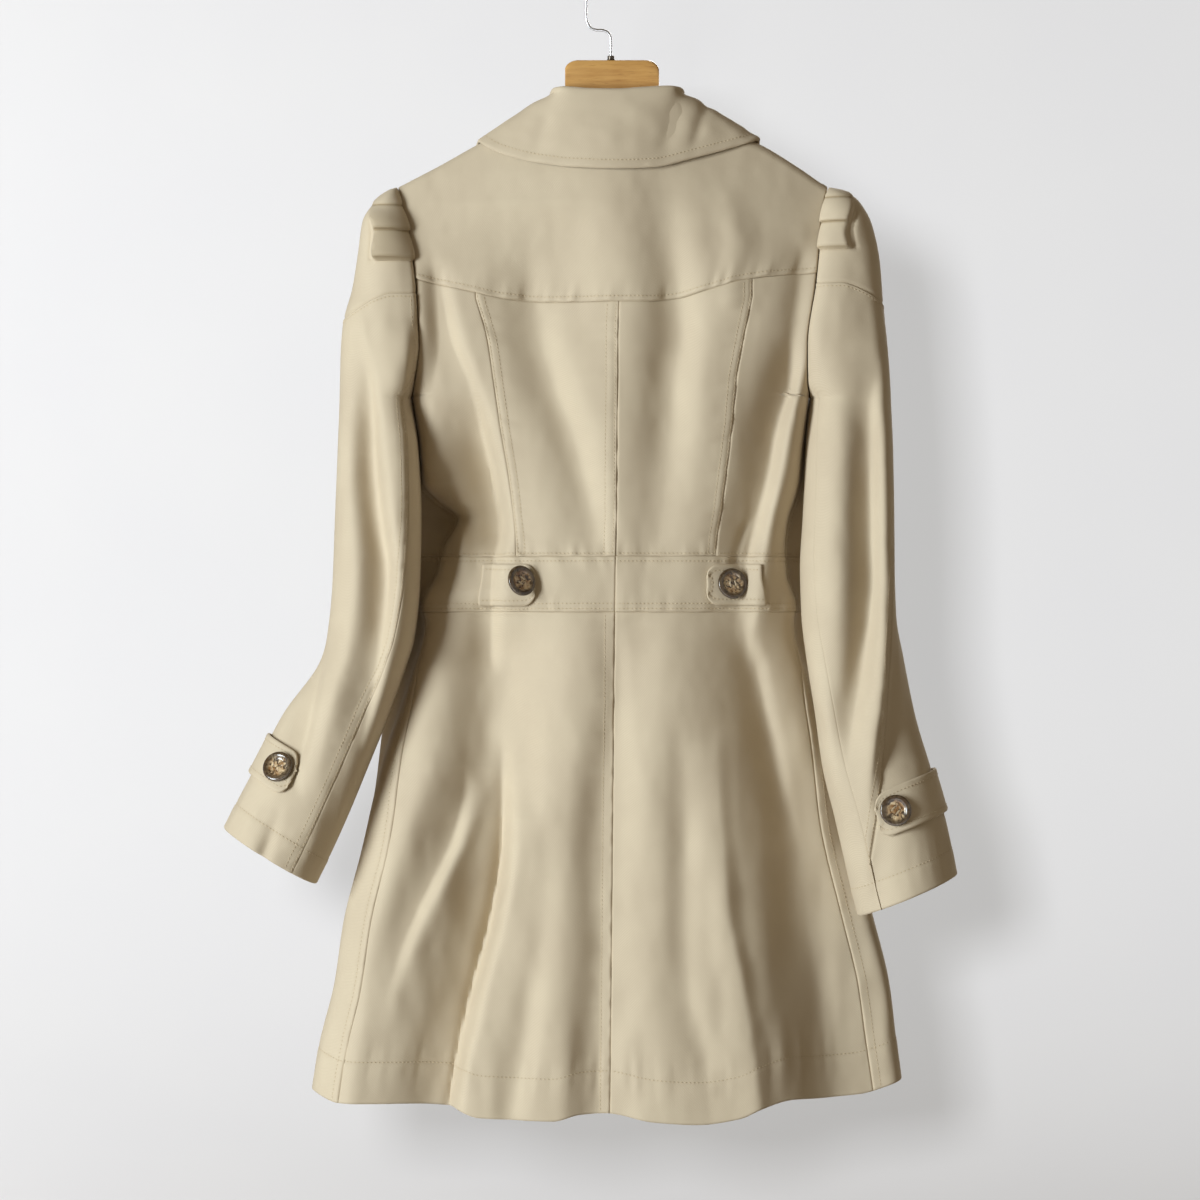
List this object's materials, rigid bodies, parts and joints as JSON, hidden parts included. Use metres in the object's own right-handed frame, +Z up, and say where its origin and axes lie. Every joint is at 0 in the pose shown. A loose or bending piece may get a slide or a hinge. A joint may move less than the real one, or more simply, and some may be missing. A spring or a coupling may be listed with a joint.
{
  "type": "trench coat",
  "caption": "Fitted knee-length trench coat with puffed sleeves, back yoke, waistband tabs, cuff straps and a flared skirt, hung on a wooden hanger with a wire hook.",
  "frame": {"origin": "inside top of the hook, where it rests on its rail", "axes": "+Z up; -Y towards the viewer of the coat's back; +Y out of its front; +X to the right as seen from behind"},
  "size_m": [0.6325, 0.1883, 0.9942],
  "materials": {
    "coat_cloth": "beige cotton gabardine",
    "button_horn": "mottled tortoiseshell resin",
    "hanger_wood": "varnished",
    "hook_steel": "polished"
  },
  "bodies": {
    "root": {"back_left": "coat_cloth", "back_right": "coat_cloth", "back_yoke": "coat_cloth", "collar": "coat_cloth", "cuff_button_left": "button_horn", "cuff_button_right": "button_horn", "cuff_strap_left": "coat_cloth", "cuff_strap_right": "coat_cloth", "front_button_1": "button_horn", "front_button_2": "button_horn", "front_button_3": "button_horn", "front_button_4": "button_horn", "front_button_5": "button_horn", "front_button_6": "button_horn", "front_left": "coat_cloth", "front_right": "coat_cloth", "hanger": "hanger_wood", "hook": "hook_steel", "hook_collar": "hook_steel", "lapel_left": "coat_cloth", "lapel_right": "coat_cloth", "side_back_left": "coat_cloth", "side_back_right": "coat_cloth", "skirt_back_left": "coat_cloth", "skirt_back_right": "coat_cloth", "skirt_front_left": "coat_cloth", "skirt_front_right": "coat_cloth", "sleeve_cap_left": "coat_cloth", "sleeve_cap_right": "coat_cloth", "under_sleeve_left": "coat_cloth", "under_sleeve_right": "coat_cloth", "upper_sleeve_left": "coat_cloth", "upper_sleeve_right": "coat_cloth", "waist_button_left": "button_horn", "waist_button_right": "button_horn", "waist_tab_left": "coat_cloth", "waist_tab_right": "coat_cloth", "waistband_back_left": "coat_cloth", "waistband_back_right": "coat_cloth", "waistband_front_left": "coat_cloth", "waistband_front_right": "coat_cloth"}
  },
  "joints": []
}
